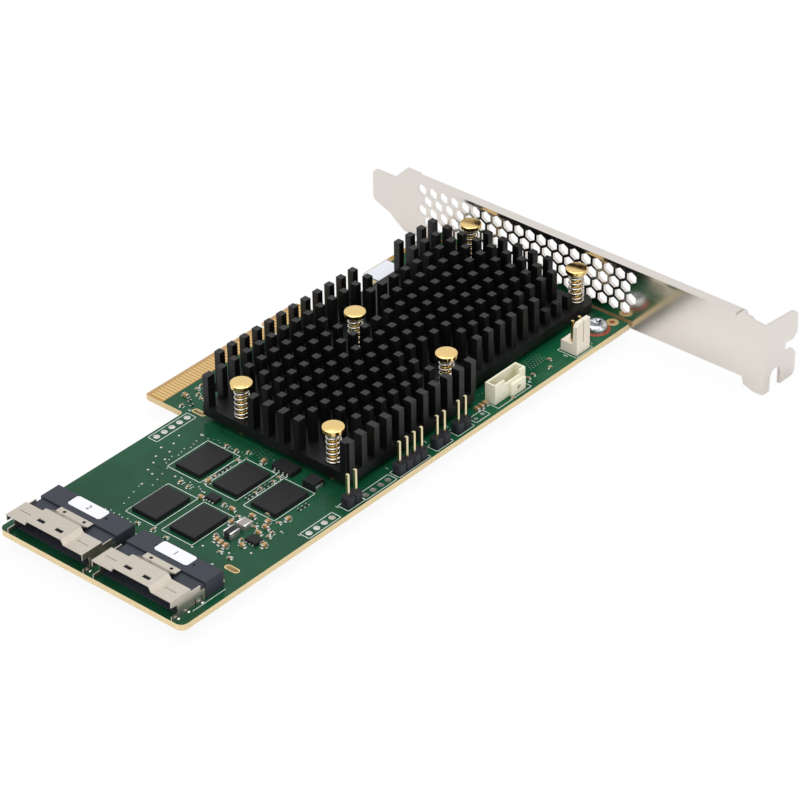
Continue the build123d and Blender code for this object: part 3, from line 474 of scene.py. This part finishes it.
# one coil: a round wire section wound by a screw, with a closed turn at each end
bpy.ops.object.select_all(action="DESELECT")
bpy.ops.mesh.primitive_circle_add(vertices=8, radius=0.25 * MM, location=loose(1.7, 0, 4.4),
                                  rotation=(math.pi / 2, 0, 0))
coil = settle("coil")
wind = coil.modifiers.new("wind", "SCREW")
wind.axis = "Z"
wind.iterations = 5
wind.screw_offset = 1.38 * MM
wind.steps = wind.render_steps = 28
wind.use_merge_vertices = True
bpy.ops.object.modifier_apply(modifier="wind")
pick(coil, lambda co: True)
bpy.ops.mesh.fill_holes(sides=8)
close(coil, 60)
ends = []
for height in (4.25, 11.43):
    bpy.ops.object.select_all(action="DESELECT")
    bpy.ops.mesh.primitive_torus_add(major_segments=28, minor_segments=8, major_radius=1.7 * MM,
                                     minor_radius=0.25 * MM, location=loose(0, 0, height))
    end = settle("coil_end")
    pick(end, lambda co: co.y < 0)
    bpy.ops.transform.translate(value=(0, 0, 0.02 * MM))
    ends.append(close(end, 60))
springs = copies(join([coil, *ends], "push_pin_spring"), PIN_PLACES, "compression_springs")
fit(springs, spring_wire, "spring_steel", "push_pin_springs")

# bracket screws: domed pan head with a cross recess, shank through board and ear
pan = turned("pan_head", loose(0, 0, 0.03), 2.75, 2.72, 1.85, 48, rim=1.0, steps=6)
pan = cut(pan, block("cross_a", loose(0, 0, 0.95), 3.0, 0.7, 2.0, 0.1))
pan = cut(pan, block("cross_b", loose(0, 0, 0.95), 0.7, 3.0, 2.0, 0.1))
shank = turned("screw_shank", loose(0, 0, -3.2), 1.4, 1.4, 3.3, 24)
turned_places = [(*place, turn) for place, turn in zip(SCREW_PLACES, (20, 35))]
screws = copies(join([pan, shank], "bracket_screw"), turned_places, "pan_head_screws")
fit(screws, zinc, "screw_steel", "bracket_screws")
fit(copies(ring("screw_pad", loose(0, 0, 0.01), 1.7, 3.45), SCREW_PLACES, "screw_pads"), copper_ring,
    "board_green")

# ceramic capacitors: fired body between two tin end caps

LARGE = [(27.4, 15.7, 0), (27.1, 14.15, 0), (26.9, 12.6, 0), (38.1, 20.8, 90), (39.0, 15.5, 90), (39.6, 11.55, 0),
         (37.8, 10.4, 90), (43.2, 8.8, 0), (29.45, 9.8, 90), (32.5, 6.15, 0), (56.2, 28.1, 0), (42.4, 32.4, 0),
         (37.0, 29.2, 90), (34.25, 17.7, 0), (35.2, 10.2, 90), (103.65, 4.4, 90), (105.2, 4.4, 90),
         (106.7, 4.4, 90), (64.6, 60.4, 90)]
SMALL = [(20.8, 33.5, 90), (28.7, 17.2, 0), (41.9, 13.6, 90), (40.9, 9.4, 90), (33.2, 7.6, 0), (36.4, 12.4, 90),
         (30.9, 11.6, 0), (24.6, 12.0, 90), (24.4, 8.9, 90), (35.6, 7.6, 90), (37.2, 8.2, 0), (46.0, 21.1, 90),
         (48.1, 21.5, 90), (51.9, 21.2, 90), (53.9, 21.2, 90), (43.6, 33.0, 90), (45.0, 32.8, 90), (52.9, 33.0, 90),
         (55.6, 36.0, 0), (55.6, 39.0, 0), (56.9, 33.4, 0), (38.2, 34.6, 0), (38.4, 37.2, 0), (38.3, 23.6, 0),
         (36.9, 18.0, 90), (20.9, 24.8, 90), (21.2, 29.2, 0), (66.9, 58.6, 0), (66.0, 56.6, 90), (61.0, 58.4, 0),
         (68.4, 60.2, 90), (70.0, 60.6, 0), (112.6, 1.0, 0), (121.6, 3.6, 90), (123.4, 3.6, 90), (128.4, 2.6, 0),
         (131.0, 4.8, 90)]
for name, places, length, width, height in (("large", LARGE, 1.6, 0.85, 0.8), ("small", SMALL, 1.0, 0.5, 0.5)):
    spots = [(x, y, 0, turn) for x, y, turn in places]
    body = block("capacitor", loose(0, 0, 0.03), length - 0.3, width - 0.03, height - 0.03, 0.03, 1)
    left = block("end_cap", loose(-length / 2 + 0.16, 0, 0), 0.34, width, height, 0.07)
    right_cap = block("end_cap", loose(length / 2 - 0.16, 0, 0), 0.34, width, height, 0.07)
    pads = [block("pad", loose(side * (length / 2 + 0.08), 0, 0.0), 0.36, width + 0.1, 0.1, 0.04)
            for side in (-1, 1)]
    stands_for = ("ceramic_capacitors",) if name == "large" else ()
    fit(copies(body, spots, f"{name}_capacitor_bodies"), ceramic, "ceramic_tan", *stands_for)
    fit(copies(join([left, right_cap, *pads], "ends"), spots, f"{name}_capacitor_ends"), tin, "shell_steel")

# resistors: dark film bodies with tin ends
RESISTORS = ([(46.0 + 1.3 * i, 32.8, 0, 90) for i in range(4)] + [(43.2 + 1.3 * i, 21.1, 0, 90) for i in range(7)]
             + [(47.6 + 1.3 * i, 9.3, 0, 90) for i in range(3)]
             + [(63.6, 58.2, 0, 0), (62.6, 56.6, 0, 0)])
body = block("resistor", loose(0, 0, 0.0), 1.0, 0.5, 0.33, 0.03, 1)
fit(copies(body, RESISTORS, "resistor_bodies"), film, "resistor_dark", "resistors")
ends = [block("resistor_end", loose(side * 0.43, 0, 0), 0.2, 0.52, 0.35, 0.03, 1) for side in (-1, 1)]
fit(copies(join(ends, "ends"), RESISTORS, "resistor_ends"), tin, "shell_steel")

# inductors and the tantalum capacitor: tin ends that wrap the body
wraps = []
for x, y, length, width, height, band in ((30.6, 14.1, 3.0, 2.4, 2.0, 0.5), (35.2, 14.45, 2.9, 2.7, 1.5, 0.5)):
    for side in (-1, 1):
        wraps.append(block("wrap", at(x, y + side * (width / 2 - band / 2 + 0.02), 0), length + 0.04, band,
                           height + 0.02, 0.12))
for side in (-1, 1):
    wraps.append(block("tantalum_end", at(56.65, 13.25 + side * 1.8, 0), 2.4, 0.25, 1.1, 0.06))
fit(join(wraps, "inductor_ends"), tin, "shell_steel")

# gull-wing leads of the flash chip and flat leads of the two small chips
leads = []
for side in (-1, 1):
    for i in range(4):
        y = 22.05 + (i - 1.5) * 1.27
        leads.append(block("lead_foot", at(57.45 + side * 2.3, y, 0), 0.6, 0.42, 0.16, 0.04))
        leads.append(block("lead_rise", at(57.45 + side * 1.93, y, 0.05), 0.2, 0.42, 0.65, 0.05))
    for i in range(3):
        leads.append(block("lead", at(38.4 + side * 1.25, 26.85 + (i - 1) * 0.95, 0), 0.5, 0.38, 0.3, 0.05))
        leads.append(block("lead", at(32.4 + side * 1.35, 9.1 + (i - 1) * 0.95, 0), 0.45, 0.38, 0.25, 0.05))
fit(join(leads, "chip_leads"), tin, "shell_steel")

# first-corner marks moulded into the chips
MARKS = [(52.2, 41.35, 1.15), (52.05, 29.6, 1.15), (52.0, 18.0, 1.15), (24.55, 31.3, 1.15), (24.7, 19.85, 1.15),
         (56.4, 19.9, 1.3)]
dimple = ring("dimple", loose(0, 0, 0.0), 0, 0.38, thick=0.012, sides=20)
fit(copies(dimple, MARKS, "chip_marks"), crease_shade_and_mark, "chip_black")

# plated rings and pads: spare rows, slots, test points and the bracket end's round target

SPARE = [(x + PITCH * i, y, 0.01) for x, y, count in ((42.5, 1.9, 4), (61.5, 1.9, 4), (48.17, 54.0, 5))
         for i in range(count)]
UNDER = [(x, y, -1.6) for x, y, _ in SPARE]
plated = ring("plated_ring", loose(0, 0, 0), 0.5, 0.8, sides=24)
fit(copies(plated, SPARE, "spare_hole_rings"), tin, "shell_steel")
# the spare holes are filled with solder a little below their rings
filling = turned("hole_solder", loose(0, 0, -1.5), 0.46, 0.46, 1.44, 14)
fit(copies(filling, SPARE, "spare_hole_solder"), tin, "shell_steel")
plated = ring("plated_ring", loose(0, 0, 0), 0.5, 0.8, sides=24)
fit(copies(plated, UNDER, "spare_hole_rings_under"), tin, "shell_steel")
SLOTS = [(21.95, 5.9, 0.01), (61.7, 53.3, 0.01), (21.95, 5.9, -1.6), (61.7, 53.3, -1.6)]
slot_ring = ring("slot_ring", loose(0, 0, 0), 0.56, 0.86, stretch=2.3)
fit(copies(slot_ring, SLOTS, "slot_rings"), slot_gold, "gold_plate")
POINTS = [(51.8, 50.4), (48.7, 49.1), (45.7, 50.2), (45.7, 47.5), (42.8, 46.2), (42.4, 48.7), (40.2, 47.3),
          (37.4, 46.3), (36.8, 44.4), (39.4, 39.7), (32.5, 43.5), (37.8, 30.2), (39.1, 30.4), (24.1, 16.7),
          (25.8, 10.4), (28.9, 6.7), (58.4, 26.9), (54.55, 21.75), (55.0, 20.7), (55.2, 32.3), (22.4, 29.4),
          (22.3, 18.2), (55.2, 44.3)]
point = ring("test_point", loose(0, 0, 0), 0, 0.27, sides=14)
fit(copies(point, [(x, y, 0.0) for x, y in POINTS], "test_points"), tin, "shell_steel")
fit(ring("fiducial_ring", at(153.6, 3.5, 0.0), 0.68, 1.6), slot_gold, "gold_plate")
fit(ring("fiducial_dot", at(153.6, 3.5, 0.0), 0, 0.65), copper_ring, "gold_plate")

# two bare pads of a link that isn't fitted, between the posts and the walled header
link_pad = ring("link_pad", loose(0, 0, 0), 0, 0.52, sides=20)
fit(copies(link_pad, [(100.7, 2.35, 0.0), (103.2, 2.45, 0.0)], "link_pads"), tin, "shell_steel")

# fine plated vias, 0.36 mm across: rows beside the chips and the far edge, each with its first place, its step,
# a side step that starts anew after some vias, and its count; then one cluster by each of two parts
VIA_ROWS = ((55.7, 33.6, 0, 0.95, 0.5, 0, 2, 11), (39.0, 31.0, 0, 0.9, 0.45, 0, 3, 9),
            (20.4, 35.2, 0, 1.3, 0.4, 0, 2, 7), (42.0, 45.0, 1.35, 0, 0, 0.4, 3, 9),
            (37.4, 9.2, 0, 0.8, 0.5, 0, 2, 7), (108.6, 8.2, 1.2, 0, 0, -0.35, 3, 10),
            (142.9, 1.4, 0, 0.9, 0.5, 0, 2, 6), (24.5, 41.3, 2.3, 0, 0, 0.7, 4, 8))
VIAS = [(x + step_x * i + side_x * (i % beat), y + step_y * i + side_y * (i % beat), 0)
        for x, y, step_x, step_y, side_x, side_y, beat, count in VIA_ROWS for i in range(count)]
VIAS += [(125.0 + 0.95 * i + 0.45 * (j % 2), 5.7 + 0.8 * j, 0) for i in range(7) for j in range(5)]
VIAS += [(57.1 + 0.85 * i + 0.4 * (j % 2), 28.3 + 0.95 * j, 0) for i in range(4) for j in range(6)]
fit(copies(ring("via", loose(0, 0, 0), 0, 0.18, sides=8, thick=0.02), VIAS, "plated_vias"), tin, "shell_steel")

# solder cones under every through pin, and blobs beside the shells' feet
HEADERS = [(56.0, 2.3, 2), (73.05, 1.9, 4), (86.4, 2.1, 2), (94.2, 2.35, 2)]
POSTS = [(x + PITCH * i, y) for x, y, count in HEADERS for i in range(count)]
POSTS += [(137.505, 3.1), (140.045, 3.1)] + [(x, WALLED_Y) for x in WALLED_X]
cone = turned("solder_cone", loose(0, 0, -2.35), 0.42, 0.9, 0.78, 20)
fit(copies(cone, [(x, y, 0) for x, y in POSTS], "solder_cones"), tin, "shell_steel")
blobs = []
for y0 in PORT_Y:
    for v in (-0.45, 24.15):
        for x in (1.6, 4.75, 9.0):
            bpy.ops.object.select_all(action="DESELECT")
            bpy.ops.mesh.primitive_uv_sphere_add(segments=16, ring_count=8, radius=0.34 * MM,
                                                 location=at(x, y0 + v, 0.0), scale=(1.3, 0.9, 0.8))
            blob = settle("solder_blob")
            pick(blob, lambda co: co.z < Z0 * MM)
            bpy.ops.transform.resize(value=(1, 1, 0.02), center_override=at(x, y0 + v, 0.0))
            blobs.append(close(blob, 60))
fit(join(blobs, "shell_solder"), tin, "shell_steel")

# dark moulded floor inside each mouth, behind its front edge
floors = [block("mouth_floor", at(4.05, y0 + 11.85, 0.02), 3.0, 23.0, 0.26, 0.05) for y0 in PORT_Y]
fit(join(floors, "mouth_floors"), slate, "housing_slate")

# pressed creases on the shells' wings, just proud of the sheet, painted near black as their shade
crease_shade_lines = []
for y0 in PORT_Y:
    for low, high in ((1.5, 4.8), (19.3, 22.5)):
        crease_shade_lines.append(line(3.2, y0 + low, 3.2, y0 + high, 0.12, 5.05))
    crease_shade_lines.append(line(0.3, y0 + 17.75, 6.0, y0 + 17.75, 0.14, 5.35))
fit(thicken(join(crease_shade_lines, "shell_creases_painted_shade"), 0.01), crease_shade_and_mark, "shell_steel")

# white legend: chip frames, boxes round rows and ports, ticks

legend = []


def frame_lines(x0, y0, x1, y1, gap=None):
    """A printed box; with a gap, only its corners."""
    for a, b, c, d in ((x0, y0, x1, y0), (x0, y1, x1, y1), (x0, y0, x0, y1), (x1, y0, x1, y1)):
        if gap is None:
            legend.append(line(a, b, c, d, 0.17, 0.005))
        else:
            length = math.hypot(c - a, d - b)
            ux, uy = (c - a) / length * gap, (d - b) / length * gap
            legend.append(line(a, b, a + ux, b + uy, 0.17, 0.005))
            legend.append(line(c - ux, d - uy, c, d, 0.17, 0.005))


for x0, y0, x1, y1 in ((41.2, 33.7, 54.6, 43.9), (41.2, 22.65, 54.8, 32.15), (41.0, 10.9, 54.6, 20.3),
                       (22.6, 18.65, 36.4, 27.9), (22.6, 29.8, 36.4, 39.0)):
    frame_lines(x0, y0, x1, y1)
for x0, y0, x1, y1 in ((41.0, 0.5, 51.6, 3.3), (60.0, 0.5, 70.7, 3.3), (54.3, 0.7, 60.2, 3.9),
                       (71.4, 0.4, 82.4, 3.4), (84.8, 0.6, 90.6, 3.6), (92.6, 0.8, 98.4, 3.9),
                       (99.5, 1.1, 104.4, 3.6), (107.3, 1.0, 119.5, 5.7), (135.6, 0.3, 141.9, 6.0),
                       (46.7, 52.5, 59.8, 55.4), (129.6, 57.2, 131.4, 57.4)):
    frame_lines(x0, y0, x1, y1)
for y0 in PORT_Y:
    legend.append(line(5.6, y0 - 0.9, 15.7, y0 - 0.9, 0.17, 0.005))
    legend.append(line(17.9, y0 + 1.5, 17.9, y0 + 22.0, 0.17, 0.005))
frame_lines(132.3, 57.6, 141.3, 64.1, 1.0)
# rows of short ticks stand beside the small parts
for x, y, turn in LARGE[:15] + SMALL[:32]:
    if turn:
        legend.append(line(x + 0.75, y - 0.35, x + 0.75, y + 0.35, 0.16, 0.005))
    else:
        legend.append(line(x - 0.35, y - 0.75, x + 0.35, y - 0.75, 0.16, 0.005))
fit(thicken(join(legend, "white_legend"), 0.012), ink, "board_green")

# plain numbers beside the rows and on the port labels
DIGITS = [("1", 40.2, 2.6, 0.03, 1.4), ("1", 59.3, 2.6, 0.03, 1.4), ("1", 53.5, 3.2, 0.03, 1.4),
          ("1", 72.0, 4.6, 0.03, 1.4), ("2", 85.6, 4.8, 0.03, 1.4), ("3", 93.6, 5.0, 0.03, 1.3),
          ("4", 120.2, 2.0, 0.03, 1.5), ("5", 134.4, 2.4, 0.03, 1.5), ("6", 60.6, 55.2, 0.03, 1.4),
          ("7", 38.6, 6.2, 0.03, 1.4), ("8", 55.0, 46.0, 0.03, 1.4), ("9", 20.2, 10.0, 0.03, 1.2)]
marks = []
for text, x, y, z, size in DIGITS:
    bpy.ops.object.select_all(action="DESELECT")
    bpy.ops.object.text_add(location=at(x, y, z), rotation=(0, 0, 0))
    digit = bpy.context.object
    digit.data.body = text
    digit.data.size = size * MM
    bpy.ops.object.convert(target="MESH")
    marks.append(bpy.context.object)
fit(join(marks, "legend_numbers"), ink, "board_green")

marks = []
for text, y0 in zip("12", PORT_Y):
    bpy.ops.object.select_all(action="DESELECT")
    bpy.ops.object.text_add(location=at(13.5, y0 + 12.7, 4.365), rotation=(0, 0, -math.pi / 2))
    digit = bpy.context.object
    digit.data.body = text
    digit.data.size = 2.2 * MM
    bpy.ops.object.convert(target="MESH")
    marks.append(bpy.context.object)
fit(join(marks, "port_numbers"), crease_shade_and_mark, "label_white")

# the walled header's posts end low inside it
short_posts = [block("short_post", at(x, WALLED_Y, -2.87), 0.5, 0.5, 5.2, 0.08) for x in WALLED_X]
fit(join(short_posts, "walled_header_posts"), gold, "gold_plate", "shrouded_header_pins")

# copper tracks under the mask, drawn as dark lines that are partly the gaps' own colour and partly painted shade:
# bundles that run round the chips and away from the ports

track_shade_lines = []


def bundle(points, count, step_x, step_y, width=0.16):
    """Parallel dark track lines, partly painted shade, through the given board points, each shifted by one step."""
    for i in range(count):
        shifted = [(x + i * step_x, y + i * step_y) for x, y in points]
        for (x0, y0), (x1, y1) in zip(shifted, shifted[1:]):
            track_shade_lines.append(line(x0, y0, x1, y1, width, 0.002))


# arcs from the near port past the small supply to the near edge, then along it
for i in range(7):
    r = 9.0 + 0.75 * i
    points = [(45.0 + r * math.sin(math.radians(a)) * 1.05, 14.0 - r * math.cos(math.radians(a)) * 0.86)
              for a in range(-50, 61, 11)]
    for (x0, y0), (x1, y1) in zip(points, points[1:]):
        if y0 > 3.6 and y1 > 3.6 and not (40.6 < x0 < 55.0 and y0 > 10.4):
            track_shade_lines.append(line(x0, y0, x1, y1, 0.16, 0.002))
bundle([(18.4, 6.6), (20.2, 8.4), (20.2, 16.0), (21.2, 17.2)], 3, 0.45, -0.3)
bundle([(18.4, 46.0), (24.0, 46.0), (30.0, 50.5), (44.0, 50.9)], 7, 0.5, -0.62)
bundle([(6.0, 27.7), (17.0, 27.7), (19.6, 28.9)], 3, 0.2, -0.32)
bundle([(36.9, 41.0), (39.8, 43.8), (39.8, 45.0), (56.0, 45.0)], 4, -0.1, 0.55)
bundle([(56.0, 47.6), (59.4, 50.6), (59.4, 55.6)], 5, 0.55, 0.0)
bundle([(55.7, 7.4), (58.9, 7.4), (58.9, 18.0)], 3, 0.4, -0.35)
bundle([(55.9, 30.5), (58.2, 32.8), (58.2, 43.5), (59.6, 45.0)], 4, 0.42, 0.0)
bundle([(107.0, 7.6), (127.0, 7.6), (131.5, 4.2), (134.0, 4.2)], 3, 0.0, -0.5)
bundle([(123.0, 6.0), (128.5, 1.6), (134.6, 1.6)], 2, -0.6, -0.3)
bundle([(142.6, 2.0), (145.0, 4.6), (145.0, 8.2)], 3, 0.45, -0.2)
bundle([(72.0, 57.0), (96.0, 57.0), (98.5, 59.5), (98.5, 62.0)], 5, 0.9, 0.7)
bundle([(100.5, 57.0), (104.5, 57.0), (108.5, 61.0)], 4, 1.1, 0.0)
fit(thicken(join(track_shade_lines, "track_lines_with_painted_shade"), 0.006), track_edge_shade, "board_green")
